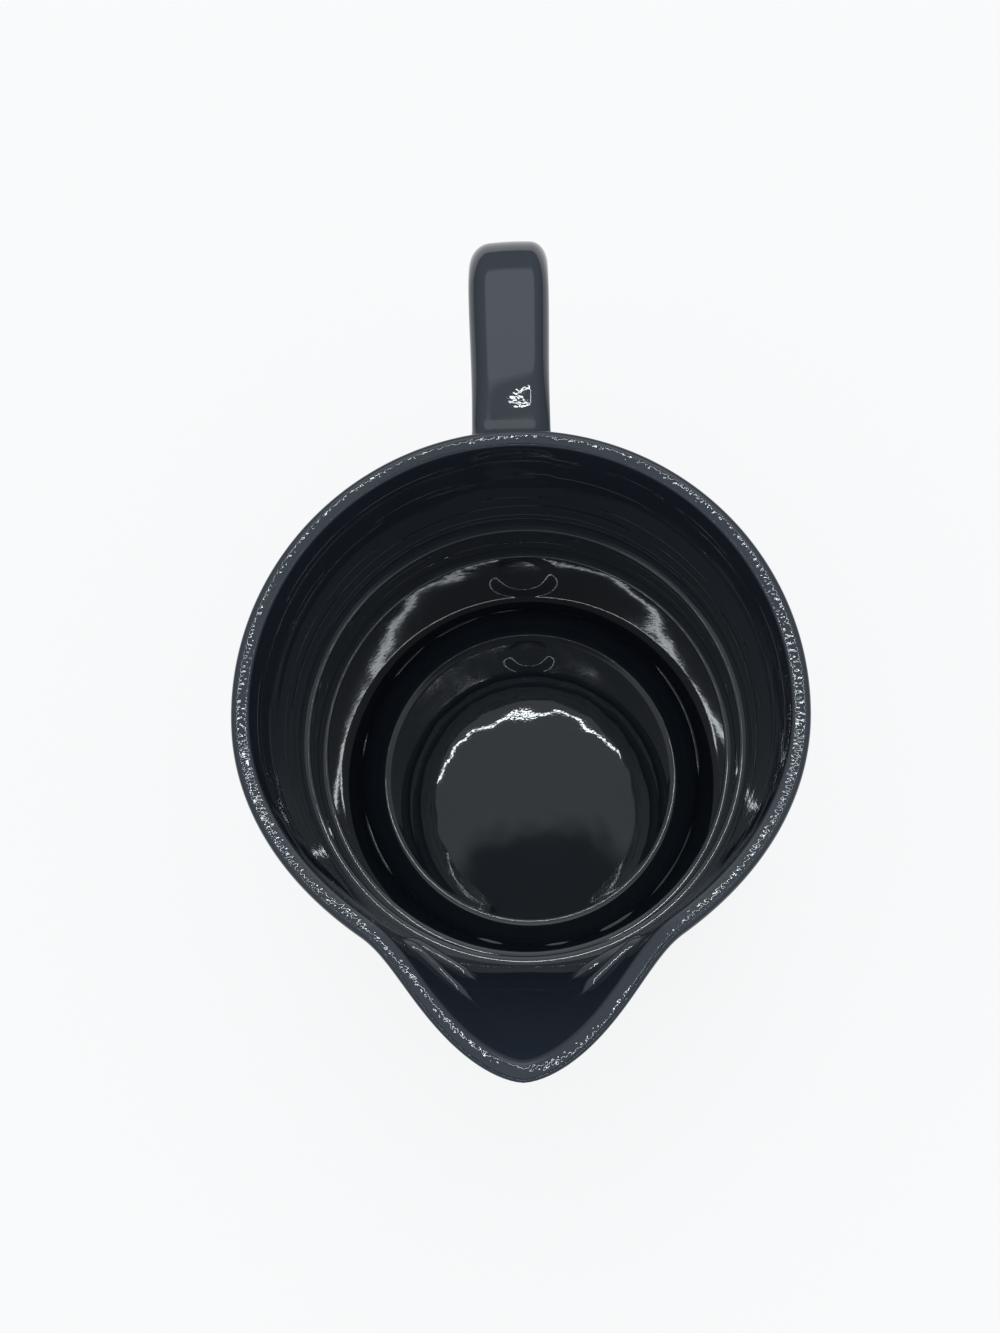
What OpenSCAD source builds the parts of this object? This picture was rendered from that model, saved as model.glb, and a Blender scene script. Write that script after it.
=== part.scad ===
// Glazed jug with a pulled pouring spout and a strap handle.
// It stands on +Z with the axis of its wall at the origin, the spout towards -Y and the handle towards +Y.

/* [Body] */
// Outside diameter of the straight wall
body_d = 90; // [76:1:120]
// Overall height, from the surface that it stands on to the rim
height = 108; // [100:1:140]
// Thickness of the fired wall
wall = 3; // [2.4:0.1:4]
// Thickness of the floor at its edge
floor_t = 3.6; // [3:0.1:6]
// Rise of the middle of the floor over its edge
floor_dome = 1; // [0.4:0.1:2]
// Radius of the corner between the wall and the floor, inside
inner_corner_r = 6; // [3:0.5:10]
// Radius of the lower edge of the wall, outside
outer_corner_r = 5; // [2:0.5:6]

/* [Foot ring] */
// Distance from the outside of the wall to the outside of the foot ring
foot_inset = 7; // [6:0.5:12]
// Width of the foot ring
foot_w = 5; // [3:0.5:8]
// Height of the foot ring
foot_h = 2; // [1:0.25:4]
// Rounding of the lower edges of the foot ring
foot_edge_r = 0.8; // [0.3:0.1:0.9]

/* [Rim and spout] */
// Height of the collar that carries the rim and the spout
collar_h = 32; // [26:1:40]
// Rounding of the two edges of the rim
rim_edge_r = 1.1; // [0.6:0.1:1.15]
// How far the tip of the spout stands out past the wall, before its edge is rounded
spout_reach = 11.6; // [6:0.2:16]
// Half of the angle that the spout takes up at the rim, seen from the axis
spout_half_angle = 34; // [26:1:44]
// The same half angle at the foot of the spout, where it leaves the wall
throat_half_angle = 16; // [10:1:26]
// How far the rim is drawn in on both sides of the spout
draw_in = 2; // [0:0.25:4]
// Angle from the spout at which the rim is back on its circle
draw_end_angle = 84; // [60:1:110]

/* [Handle] */
// Width of the strap at the wall
strap_w = 14.5; // [10:0.5:20]
// Width of the strap along the grip
grip_w = 15.5; // [10:0.5:20]
// Thickness of the strap
strap_t = 8; // [6.5:0.5:10]
// Rounding of the long edges of the strap
strap_edge_r = 3.6; // [1.5:0.1:3.9]
// Depth of the strap's upper face below the rim
handle_drop = 5; // [5:0.5:10]
// Distance from the wall to the outermost face of the strap
handle_reach = 47; // [36:1:54]
// Depth of the lower joint's middle below the middle of the upper joint
handle_span = 59; // [48:1:66]
// Lean of the grip towards the wall, from its upper corner to its lower corner
grip_lean = 9; // [0:0.5:14]
// Drop of the strap from its lower corner to the lower joint
tail_drop = 14; // [4:1:22]
// Radius of the upper corner, at the middle of the strap
upper_corner_r = 11; // [8:0.5:14]
// Radius of the lower corner, at the middle of the strap
lower_corner_r = 20; // [10:0.5:22]

/* [Joints of the handle] */
// Width of the clay bead round each end of the strap, on the wall
bead_w = 3; // [2:0.25:4]
// Length of the bead along the strap
bead_run = 5; // [2:0.25:7]
// Thickness of the bead at its thin edges
bead_lip = 0.3; // [0.2:0.1:0.8]

/* [Dimples inside, behind the joints] */
// Depth of the dimples in the inner face of the wall
dimple_depth = 0.8; // [0.2:0.1:1.2]
// Width of the dimples
dimple_w = 16; // [10:0.5:20]
// Height of the dimple behind the upper joint
upper_dimple_h = 15; // [8:0.5:18]
// Height of the dimple behind the lower joint
lower_dimple_h = 30; // [16:0.5:36]

/* [Hidden] */
$fn = 96;

glaze_colour = "#16181c";
clay_colour = "#b9a893";

// Radii of the wall, and heights of the floor and of the seam under the collar
body_r = body_d / 2;
bore_r = body_r - wall;
floor_z = foot_h + floor_t;
seam_z = height - collar_h;
floor_r = bore_r - inner_corner_r;
dome_r = (floor_r * floor_r + floor_dome * floor_dome) / (2 * floor_dome);

// Directions round the axis at which the collar is drawn: close together at the spout and behind the handle
spout_step = 2;
side_step = 6;
back_step = 3;
fine_front = 46;
fine_back = 24;
collar_angles = [
    for (a = [-fine_front : spout_step : fine_front]) a,
    for (a = [fine_front + side_step : side_step : 180 - fine_back]) a,
    for (a = [180 - fine_back + back_step : back_step : 180 + fine_back]) a,
    for (a = [180 + fine_back + side_step : side_step : 360 - fine_front - 1]) a
];
// Steps up the collar and round each edge of the rim
collar_steps = 10;
edge_steps = 4;
// Sharpness of the V of the spout, its outward sweep, and the angle over which its direction is measured
vee_power = 1.6;
sweep_power = 2;
slope_angle = 0.5;

// Steps round each edge of the strap, across its broad faces, along its corners, and over the beads
strap_edge_steps = 5;
strap_face_steps = 4;
path_steps = 12;
bead_steps = 5;
// Gap that keeps the straight facets of a bead off the round wall
bead_seat = 0.02;

// Middle line of the strap, as a line with two rounded corners in the plane through the handle and the axis
root_z = height - handle_drop - strap_t / 2;
tail_z = root_z - handle_span;
// The upper corner lies past the outermost point of its rounding, because the grip leans
lean = atan2(grip_lean, handle_span - tail_drop);
corner_spare = upper_corner_r * (tan(lean) + 1 / cos(lean) - 1);
grip_y = body_r + handle_reach - strap_t / 2 + corner_spare;
upper_corner = [grip_y, root_z];
lower_corner = [grip_y - grip_lean, tail_z + tail_drop];
// The strap is drawn past the outside of the wall at both ends and is then cut to the wall
root_overrun = wall / 2;
tail_foot = [body_r, tail_z];
tail_direction = unit(tail_foot - lower_corner);
strap_start = [body_r - root_overrun, root_z];
strap_end = tail_foot + tail_direction * (strap_t + root_overrun);
// The strap keeps its width under the beads, and is as wide as the grip where its upper corner starts to turn
joint_run = bead_lip + bead_run + strap_t / 2;
root_joint = [body_r + joint_run, root_z];
tail_joint = tail_foot + tail_direction * joint_run / tail_direction[0];
full_width_y = grip_y - upper_corner_r;
// Rounding of the edges, limited by the thickness of the strap
edge_r = min(strap_edge_r, 0.49 * strap_t);

function unit(v) = v / norm(v);
function ease(t) = let (u = min(1, max(0, t))) u * u * (3 - 2 * u);
function turned(v) = [-v[1], v[0]];

// Shares of the draw-in and of the spout, at an angle from its middle and a share of the collar's height
function draw_share(angle) = ease((draw_end_angle - angle) / (draw_end_angle - spout_half_angle));
function lip_half_angle(rise) = throat_half_angle + (spout_half_angle - throat_half_angle) * rise;
function lip_share(angle, rise) = pow(1 - pow(min(1, angle / lip_half_angle(rise)), vee_power), 2);

function outline_r(angle, rise) =
    let (off = abs(angle > 180 ? angle - 360 : angle), sweep = pow(rise, sweep_power))
    body_r + sweep * ((spout_reach + draw_in) * lip_share(off, rise) - draw_in * draw_share(off));
function outline_point(angle, rise) = outline_r(angle, rise) * [sin(angle), -cos(angle)];
function outline_inward(angle, rise) =
    turned(unit(outline_point(angle + slope_angle, rise) - outline_point(angle - slope_angle, rise)));

// Depth of the upper dimple at an angle and a height
function upper_dimple(angle, z) =
    let (
        across = (angle - 180) * PI / 180 * bore_r / (dimple_w / 2),
        up = (z - root_z) / (upper_dimple_h / 2)
    )
    dimple_depth * max(0, 1 - across * across - up * up);

// One upright section of the collar: up the outside, over the rim and down the inside
function collar_point(angle, inset, z) =
    let (rise = (z - seam_z) / collar_h, p = outline_point(angle, rise) + inset * outline_inward(angle, rise))
    [p[0], p[1], z];
function collar_section(angle) =
    let (top = height - rim_edge_r, side = top - seam_z)
    concat(
        [for (i = [0 : collar_steps]) collar_point(angle, 0, seam_z + side * i / collar_steps)],
        [for (i = [1 : edge_steps]) let (a = 90 * i / edge_steps)
            collar_point(angle, rim_edge_r * (1 - cos(a)), top + rim_edge_r * sin(a))],
        [for (i = [0 : edge_steps - 1]) let (a = 90 * i / edge_steps)
            collar_point(angle, wall - rim_edge_r * (1 - sin(a)), top + rim_edge_r * cos(a))],
        [for (i = [0 : collar_steps]) let (z = top - side * i / collar_steps)
            collar_point(angle, wall - upper_dimple(angle, z), z)]
    );

// Points along a line that turns a rounded corner, without the ends of the line
function rounded_corner(before, corner, after, radius) =
    let (
        back = unit(before - corner),
        on = unit(after - corner),
        half = acos(back * on) / 2,
        middle = corner + unit(back + on) * radius / sin(half),
        from = corner + back * radius / tan(half) - middle,
        turn = 180 - 2 * half,
        side = turned(from) * back < 0 ? 1 : -1
    )
    [for (i = [0 : path_steps]) let (a = turn * i / path_steps)
        middle + from * cos(a) + side * turned(from) * sin(a)];
strap_path = concat(
    [strap_start, root_joint],
    rounded_corner(strap_start, upper_corner, lower_corner, upper_corner_r),
    rounded_corner(upper_corner, lower_corner, strap_end, lower_corner_r),
    [tail_joint, strap_end]
);

// Outline of the strap, grown by a margin: four rounded edges and two broad faces
function strap_edge(corner, quarter, r) =
    [for (i = [0 : strap_edge_steps]) let (a = 90 * (quarter + i / strap_edge_steps))
        corner + r * [cos(a), sin(a)]];
function strap_face(from, to) =
    [for (i = [1 : strap_face_steps - 1]) from + (to - from) * i / strap_face_steps];
function strap_outline(width, margin) =
    let (r = edge_r + margin, x = width / 2 - edge_r, y = strap_t / 2 - edge_r)
    concat(
        strap_edge([x, y], 0, r),
        strap_face([x, y + r], [-x, y + r]),
        strap_edge([-x, y], 1, r),
        strap_edge([-x, -y], 2, r),
        strap_face([-x, -y - r], [x, -y - r]),
        strap_edge([x, -y], 3, r)
    );

function strap_width(y) =
    strap_w + (grip_w - strap_w) * ease((y - root_joint[0]) / (full_width_y - root_joint[0]));

// The outline set square to a direction at a place on the middle line
function strap_ring(place, along, width, margin) =
    let (out = -turned(along))
    [for (p = strap_outline(width, margin)) [p[0], place[0] - out[0] * p[1], place[1] - out[1] * p[1]]];
// The outline slid along the strap until it stands a given height over the outside of the wall
function bead_ring(foot, outward, lift, margin) = [
    for (p = strap_ring(foot, outward, strap_w, margin))
        let (wall_y = sqrt(body_r * body_r - p[0] * p[0]), slide = (wall_y + lift - p[1]) / outward[0])
        p + slide * [0, outward[0], outward[1]]
];
function path_direction(i) =
    let (last = len(strap_path) - 1, a = strap_path[max(0, i - 1)], b = strap_path[min(last, i + 1)])
    i == 0 ? unit(strap_path[1] - strap_path[0])
    : i == last ? unit(strap_path[last] - strap_path[last - 1])
    : unit(unit(strap_path[i] - a) + unit(b - strap_path[i]));

// Skin over closed rows of points: from the last row back to the first, or capped at both ends
function skin_faces(rows, columns, closed) = [
    for (i = [0 : rows - (closed ? 1 : 2)], j = [0 : columns - 1])
        let (
            a = i * columns + j,
            b = i * columns + (j + 1) % columns,
            c = ((i + 1) % rows) * columns + (j + 1) % columns,
            d = ((i + 1) % rows) * columns + j
        )
        each [[a, b, c], [a, c, d]]
];
module closed_skin(rows) {
    polyhedron([for (row = rows) each row], skin_faces(len(rows), len(rows[0]), true));
}
module capped_skin(rows) {
    count = len(rows[0]);
    last = (len(rows) - 1) * count;
    caps = [[for (j = [count - 1 : -1 : 0]) j], [for (j = [0 : count - 1]) last + j]];
    polyhedron([for (row = rows) each row], concat(skin_faces(len(rows), count, false), caps));
}

// A barrel that leaves a shallow oval dimple where it cuts the inner face of the wall
module dimple_barrel(z, h) {
    bulge_r = (h * h / 4 + dimple_depth * dimple_depth) / (2 * dimple_depth);
    half_w = dimple_w / 2;
    edge_y = sqrt(bore_r * bore_r - half_w * half_w);
    deep_y = bore_r + dimple_depth;
    barrel_r = (half_w * half_w + pow(deep_y - edge_y, 2)) / (2 * (deep_y - edge_y));
    translate([0, deep_y - barrel_r, z])
        rotate_extrude()
            intersection() {
                translate([barrel_r - bulge_r, 0])
                    circle(r = bulge_r, $fn = 4 * $fn);
                translate([0, -h])
                    square([barrel_r, 2 * h]);
            }
}

// Cylinder with its floor, from the foot ring up to the seam under the collar
module body_profile() {
    difference() {
        union() {
            translate([0, foot_h])
                square([body_r - outer_corner_r, seam_z - foot_h]);
            translate([0, foot_h + outer_corner_r])
                square([body_r, seam_z - foot_h - outer_corner_r]);
            translate([body_r - outer_corner_r, foot_h + outer_corner_r])
                circle(r = outer_corner_r);
        }
        translate([0, floor_z + inner_corner_r])
            square([bore_r, height]);
        translate([0, floor_z])
            square([floor_r, height]);
        translate([floor_r, floor_z + inner_corner_r])
            circle(r = inner_corner_r);
        translate([-body_d, 0])
            square([body_d, height]);
    }
}

module floor_dome_profile() {
    intersection() {
        translate([0, floor_z + floor_dome - dome_r])
            circle(r = dome_r, $fn = 4 * $fn);
        translate([0, floor_z - floor_t / 2])
            square([floor_r, floor_t]);
    }
}

module body() {
    color(glaze_colour)
        difference() {
            rotate_extrude() {
                body_profile();
                floor_dome_profile();
            }
            dimple_barrel(tail_z, lower_dimple_h);
        }
}

module spout_collar() {
    color(glaze_colour)
        closed_skin([for (a = collar_angles) collar_section(a)]);
}

module foot_ring() {
    outer = body_r - foot_inset;
    color(clay_colour)
        rotate_extrude()
            translate([outer - foot_w, 0]) {
                translate([0, foot_edge_r])
                    square([foot_w, foot_h - foot_edge_r]);
                translate([foot_edge_r, 0])
                    square([foot_w - 2 * foot_edge_r, foot_h]);
                for (x = [foot_edge_r, foot_w - foot_edge_r])
                    translate([x, foot_edge_r])
                        circle(r = foot_edge_r);
            }
}

module handle() {
    color(glaze_colour)
        difference() {
            capped_skin([
                for (i = [0 : len(strap_path) - 1])
                    strap_ring(strap_path[i], path_direction(i), strap_width(strap_path[i][0]), 0)
            ]);
            cylinder(h = height, r = body_r, $fn = 4 * $fn);
        }
}

// Bead of clay round the strap that swells from the strap out to the wall in a hollow curve
module joint_bead(foot, outward) {
    closed_skin(concat(
        [bead_ring(foot, outward, bead_seat, 0)],
        [bead_ring(foot, outward, bead_seat, bead_lip + bead_w)],
        [for (i = [0 : bead_steps]) let (a = 90 * i / bead_steps)
            bead_ring(foot, outward, bead_lip + bead_run * (1 - cos(a)), bead_lip + bead_w * (1 - sin(a)))],
        [bead_ring(foot, outward, bead_lip + bead_run, 0)]
    ));
}

module upper_joint_bead() {
    color(glaze_colour)
        joint_bead([body_r, root_z], [1, 0]);
}

module lower_joint_bead() {
    color(glaze_colour)
        joint_bead(tail_foot, -tail_direction);
}

body();
spout_collar();
foot_ring();
handle();
upper_joint_bead();
lower_joint_bead();
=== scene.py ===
import math

import bmesh
import bpy
from bpy.props import FloatProperty, FloatVectorProperty, PointerProperty
from mathutils import Matrix, Vector, noise


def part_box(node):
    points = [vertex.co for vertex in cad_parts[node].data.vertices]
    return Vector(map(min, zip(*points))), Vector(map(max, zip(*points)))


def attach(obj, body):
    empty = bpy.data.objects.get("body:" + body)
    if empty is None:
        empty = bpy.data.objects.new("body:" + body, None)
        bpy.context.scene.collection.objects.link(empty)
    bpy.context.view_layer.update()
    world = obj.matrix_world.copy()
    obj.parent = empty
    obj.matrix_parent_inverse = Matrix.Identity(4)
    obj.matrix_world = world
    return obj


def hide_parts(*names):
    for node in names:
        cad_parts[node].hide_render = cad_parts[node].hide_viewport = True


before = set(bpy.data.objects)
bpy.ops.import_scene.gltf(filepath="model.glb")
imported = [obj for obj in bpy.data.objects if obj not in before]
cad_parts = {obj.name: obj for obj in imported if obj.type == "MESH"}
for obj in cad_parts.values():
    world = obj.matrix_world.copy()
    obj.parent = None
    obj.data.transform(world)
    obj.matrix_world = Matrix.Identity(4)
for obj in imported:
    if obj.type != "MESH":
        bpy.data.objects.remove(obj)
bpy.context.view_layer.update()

bl_info = {
    "name": "Glazed Pouring Jug",
    "version": (1, 0, 0),
    "blender": (4, 5, 0),
    "location": "3D View > Sidebar > Jug",
    "description": "Builds a thrown jug with a pulled spout and a strap handle, and its studio",
    "category": "Add Mesh",
}

MM = 0.001

BODY_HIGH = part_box("body")[1]
COLLAR_LOW, COLLAR_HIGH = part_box("spout_collar")
FOOT_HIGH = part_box("foot_ring")[1]
HANDLE_LOW, HANDLE_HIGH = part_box("handle")

# How finely the round pieces, the strap, the beads and the round lamp are drawn
BODY_TURN_STEPS = 384
COLLAR_TURN_STEPS = 360
FOOT_TURN_STEPS = 192
FLOOR_STEPS = 48
CORNER_STEPS = 14
CREASE_STEPS = 7
SEAM_EDGE_STEPS = 5
FOOT_EDGE_STEPS = 6
THROWING_STEPS = 6
LEDGE_STEPS = 3
RIM_EDGE_STEPS = 8
RIM_CROWN_STEPS = 8
OUTER_WALL_ROWS = 16
UNDERSIDE_ROWS = 12
COLLAR_ROWS = 20
INNER_WALL_ROW = 0.7 * MM
STRAP_EDGE_STEPS = 10
STRAP_FACE_CUTS = 11
STRAP_RUN_STEPS = 40
STRAP_TURN_STEPS = 28
BEAD_STEPS = 16
ROUND_LAMP_TUBES = 36

# Vertices closer than this are one, and edges that turn more than this are drawn sharp
MERGE_DISTANCE = 0.001 * MM
SHARP_ANGLE = math.radians(40)

# Spout in plan: how blunt its tip is, how its sides flare, and how its pull grows with height
LIP_BLUNT = 1.6
LIP_FLARE = 2
PULL_GROWTH = 2
OUTLINE_STEP = math.radians(0.5)

# Angles at which the lower crease, the nearly flat ring and the upper crease round the floor end
CORNER_ENDS = (-84, -80, -60)

# Rings and folds of the inner wall: slopes of their tops in degrees, and shares of their size
LEDGE_SLOPES = (7.5, 11.5)
FOLD_SLOPES = (8.5, 11.5)
LEDGE_NOSE = 0.3
LEDGE_FOOT = 2.5
RING_REACH = 3
SEAM_RING_DROP = 4
CORNER_RING_RISE = 3

# Folds beside the spout: drops below the rim, and how they start, stop and taper in shares of
# the spout's half angle
FOLD_DROPS = (14 * MM, 7 * MM)
FOLD_START = 0.3
FOLD_STOP = 0.85
FOLD_TAPER = 8

# In the same shares: where the steeper rim of the spout ends and how it tapers, and how far the
# inner wall is smooth
STEEP_RIM_STOP = 3.2 / 2.8
STEEP_RIM_TAPER = 2.8
SMOOTH_SPOUT = 0.5

# Unevenness of hand work: wavelengths, means and spreads of the wall, of the fading of the
# throwing lines, of the folds, the rim and the throwing; share of the collar where it starts
WALL_WAVE = 26 * MM
FADE_WAVE = 12 * MM
FADE_MEAN = 0.6
FADE_SPREAD = 3
FOLD_WAVE = 6 * MM
FOLD_MEAN = 1.2
FOLD_SPREAD = 2
RIM_WAVE = 11 * MM
THROWING_WAVE = 2.7 * MM
THROWING_SIZE_SPREAD = 0.6
THROWING_PITCH_SPREAD = 0.5
COLLAR_CALM = 0.25

# Ripples of the floor: wavelength, how much of them is gone past its turn, and where they go
RIPPLE_WAVE = 5 * MM
RIPPLE_LOSS = 0.9
RIPPLE_LOSS_START = 0.9
RIPPLE_LOSS_RUN = 0.2

# Dimples behind the joints: share of their soft edge, and powers that square their corners
DIMPLE_SOFT = 0.3
UPPER_DIMPLE_POWER = 4
LOWER_DIMPLE_POWER = 2

# The strap's ends are fitted to the wall up to this share of the bead's run
STRAP_END = 0.3

# Glaze: sizes of its pools, swells, patches of gloss and orange peel
POOL_SIZE = 14 * MM
SWELL_SIZE = 7 * MM
GLOSS_SIZE = 20 * MM
GLOSS_LEAST = 0.7
GLOSS_SPREAD = 0.6
PEEL_SIZE = 0.55 * MM
RIM_PEEL_START = 1.4 * MM
RIM_PEEL_FULL = 0.3 * MM
FLOOR_PEEL_FULL = 0.9
GLAZE_IOR = 1.45

# Bare clay: its sand grains and dark specks
GRAIN_SIZE = 0.35 * MM
GRAIN_DEPTH = 0.08 * MM
GRAIN_SHARE = 0.25
SPECK_PITCH = 1.6 * MM
SPECK_STOPS = [(0.10, (1, 1, 1, 1)), (0.20, (0, 0, 0, 1))]
SPECK_SHARE = 0.7
CLAY_ROUGHNESS = 0.75
CLAY_ROUGHNESS_SPREAD = 0.2

# Studio: floor, soft edges of the window (cosines) and of the shade (degrees), lamp and camera
FLOOR_HALF_SIDE = 40
FLOOR_GLOW = 0.78
WINDOW_EDGES = (0.93, 0.98)
SHADE_EDGES = (9, 6)
ROUND_LAMP_PLACE = (3 * MM, -54 * MM)
SENSOR_WIDTH = 36
CLIP_START = 0.01


def length(name, description, default):
    """A size in metres that shows in the sidebar in the scene's unit."""
    return FloatProperty(
        name=name, description=description, default=default, unit="LENGTH", precision=5
    )


def angle(name, description, degrees):
    """An angle that shows in the sidebar in degrees."""
    return FloatProperty(
        name=name, description=description, default=math.radians(degrees), subtype="ANGLE"
    )


def level(name, description, default, **extra):
    """A plain number that isn't negative."""
    return FloatProperty(name=name, description=description, default=default, min=0, **extra)


def colour(name, description, default):
    """A colour with its picker in the sidebar."""
    return FloatVectorProperty(
        name=name, description=description, default=default, size=3, min=0, max=1, subtype="COLOR"
    )


class JugWallSizes(bpy.types.PropertyGroup):
    """Sizes of the thrown wall, its floor, the rim and the spout."""

    body_radius: length("Body Radius", "Outside radius of the straight wall", BODY_HIGH.x)
    rim_height: length("Rim Height", "Height of the rim over the table", COLLAR_HIGH.z)
    seam_height: length("Seam Height", "Height of the seam under the collar", COLLAR_LOW.z)
    wall: length("Wall", "Thickness of the fired wall", 3 * MM)
    floor_thickness: length("Floor", "Thickness of the floor at its edge", 3.6 * MM)
    floor_slope: angle("Floor Slope", "Steepest slope of the domed floor", 1.86)
    floor_turn: length("Floor Turn", "Radius at which the floor is steepest", 27.3 * MM)
    floor_inner: length("Floor Inner", "How gently it gets steeper up to there", 7 * MM)
    floor_outer: length("Floor Outer", "How gently it gets level towards the wall", 9.5 * MM)
    floor_warp: length("Floor Warp", "How far the floor's edge sinks on the left", 0.005 * MM)
    floor_ripple: length("Floor Ripple", "Depth of the ripples in its middle", 0.015 * MM)
    inner_corner: length("Inner Corner", "Width of the rounding up to the wall", 6 * MM)
    corner_turn: length("Corner Turn", "Radius of the nearly flat ring round the floor", 18 * MM)
    corner_crease: length("Corner Crease", "Radius of the creases beside that ring", 0.8 * MM)
    outer_corner: length("Outer Corner", "Radius of the lower edge of the wall", 5 * MM)
    rim_edge: length("Rim Edge", "Rounding of the outer edge of the rim", 0.95 * MM)
    rim_crown: length("Rim Crown", "Radius of the rim's nearly flat top", 38.5 * MM)
    rim_slope: angle("Rim Slope", "Slope of the rim at its outer edge", 7.9)
    rim_inner_slope: angle("Rim Inner Slope", "Slope of the rim at its inner edge", 10.2)
    spout_rim_slope: angle("Spout Rim Slope", "How much steeper the rim is at the spout", 3.2)
    rim_waver: length("Rim Waver", "How far the rim's inner edge rises and falls", 0.03 * MM)
    spout_reach: length("Spout Reach", "How far the spout stands out past the wall", 11.48 * MM)
    spout_half_angle: angle("Spout Half Angle", "Half of the spout's angle at the rim", 34)
    throat_half_angle: angle("Throat Half Angle", "Half of its angle where it leaves the wall", 16)
    draw_in: length("Draw-in", "How far the rim is drawn in beside the spout", 2 * MM)
    draw_end_angle: angle("Draw-in End", "Angle from the spout to where the rim is round", 84)
    dimple_depth: length("Dimple Depth", "Depth of the dimples behind the joints", 0.4 * MM)
    dimple_width: length("Dimple Width", "Width of the dimples", 16 * MM)
    upper_dimple: length("Upper Dimple", "Height of the dimple behind the upper joint", 15 * MM)
    lower_dimple: length("Lower Dimple", "Height of the dimple behind the lower joint", 30 * MM)
    seam_groove: length("Seam Groove", "Rounding of the inner edges of the seam", 0.25 * MM)
    ring_height: length("Ring Height", "Height of the ring that the throwing left", 57 * MM)
    ring_size: length("Ring Size", "How far that ring stands out", 0.9 * MM)
    seam_ring: length("Seam Ring", "How far the ring under the seam stands out", 0.9 * MM)
    corner_ring: length("Corner Ring", "How far the ring over the corner stands out", 0.3 * MM)
    throwing_pitch: length("Throwing Pitch", "Mean height between throwing lines", 4.2 * MM)
    throwing_size: length("Throwing Size", "Radius of the half-round throwing lines", 0.08 * MM)
    fold_size: length("Fold Size", "How far the folds beside the spout stand out", 0.8 * MM)
    unevenness: length("Unevenness", "Depth of the inner wall's slow unevenness", 0.06 * MM)


class JugFootSizes(bpy.types.PropertyGroup):
    """Sizes of the foot ring."""

    radius: length("Radius", "Outside radius of the foot ring", FOOT_HIGH.x)
    height: length("Height", "Height of the foot ring", FOOT_HIGH.z)
    width: length("Width", "Width of the foot ring", 5 * MM)
    edge: length("Edge", "Rounding of its lower edges", 0.8 * MM)


class JugHandleSizes(bpy.types.PropertyGroup):
    """Sizes of the strap and of the beads at its joints."""

    top: length("Top", "Height of the strap's upper face", HANDLE_HIGH.z)
    reach: length("Reach", "Distance from the axis to the strap's far face", HANDLE_HIGH.y)
    strap_width: length("Strap Width", "Width of the strap at the wall", 14.5 * MM)
    grip_width: length("Grip Width", "Width along the grip", HANDLE_HIGH.x - HANDLE_LOW.x)
    thickness: length("Thickness", "Thickness of the strap", 8 * MM)
    edge: length("Edge", "Rounding of its long edges", 3.6 * MM)
    span: length("Span", "Height between the middles of the two joints", 59 * MM)
    lean: length("Lean", "Lean of the grip from its upper to its lower corner", 9 * MM)
    tail_drop: length("Tail Drop", "Drop from the lower corner to the lower joint", 14 * MM)
    upper_corner: length("Upper Corner", "Radius of the strap's upper corner", 11 * MM)
    lower_corner: length("Lower Corner", "Radius of the strap's lower corner", 20 * MM)
    bead_width: length("Bead Width", "Width of the clay bead on the wall", 3 * MM)
    bead_run: length("Bead Run", "Length of the bead along the strap", 5 * MM)
    arch: length("Arch", "How far the sides of the far end stand back", 0.6 * MM)
    slim: length("Slim", "How much narrower the strap is on its right", 0.7 * MM)
    sink: length("Sink", "How deep the strap and beads are set in", 0.25 * MM)
    hollow_depth: length("Hollow Depth", "How far the upper face sinks at the root", 1.515 * MM)
    hollow_away: length("Hollow Away", "Distance from the wall to that ramp's middle", 9.3 * MM)
    hollow_run: length("Hollow Run", "Length of the ramp", 8.8 * MM)
    hollow_soft: length("Hollow Soft", "How softly the ramp begins and ends", 2.2 * MM)
    hollow_side: length("Hollow Side", "Place across the strap where it begins", -6 * MM)
    hollow_side_soft: length("Hollow Side Soft", "How softly it begins there", 3 * MM)
    hollow_slant: level("Hollow Slant", "Shift of the ramp away from the wall, across", 0.17)
    hollow_gain: level("Hollow Gain", "Growth of the hollow across the strap, per metre", 20)


class JugFinish(bpy.types.PropertyGroup):
    """Colours and surface of the glaze and of the bare clay."""

    glaze: colour("Glaze", "Colour of the glaze", (0.019, 0.025, 0.036))
    glaze_thin: colour("Thin Glaze", "Its colour where it has run thin", (0.026, 0.032, 0.043))
    gloss: level("Roughness", "Roughness of the glaze", 0.02, max=1, subtype="FACTOR")
    peel: length("Orange Peel", "Depth of the fine unevenness of the glaze", 0.0004 * MM)
    rim_peel: level("Rim Peel", "How many times deeper it gets on the rim", 2)
    floor_peel: level("Floor Peel", "How many times deeper it gets in the floor's middle", 2.4)
    collar_peel: level("Collar Peel", "How many times deeper it is on the collar", 8)
    strap_peel: level("Strap Peel", "How many times deeper it is on the strap", 5.5)
    swell: length("Swell", "Depth of the glaze's slow unevenness on the strap", 0.02 * MM)
    wall_swell: length("Wall Swell", "The same on the wall", 0.0015 * MM)
    clay: colour("Clay", "Colour of the bare clay", (0.42, 0.36, 0.29))
    clay_speck: colour("Specks", "Colour of the specks in the clay", (0.16, 0.12, 0.09))


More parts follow.
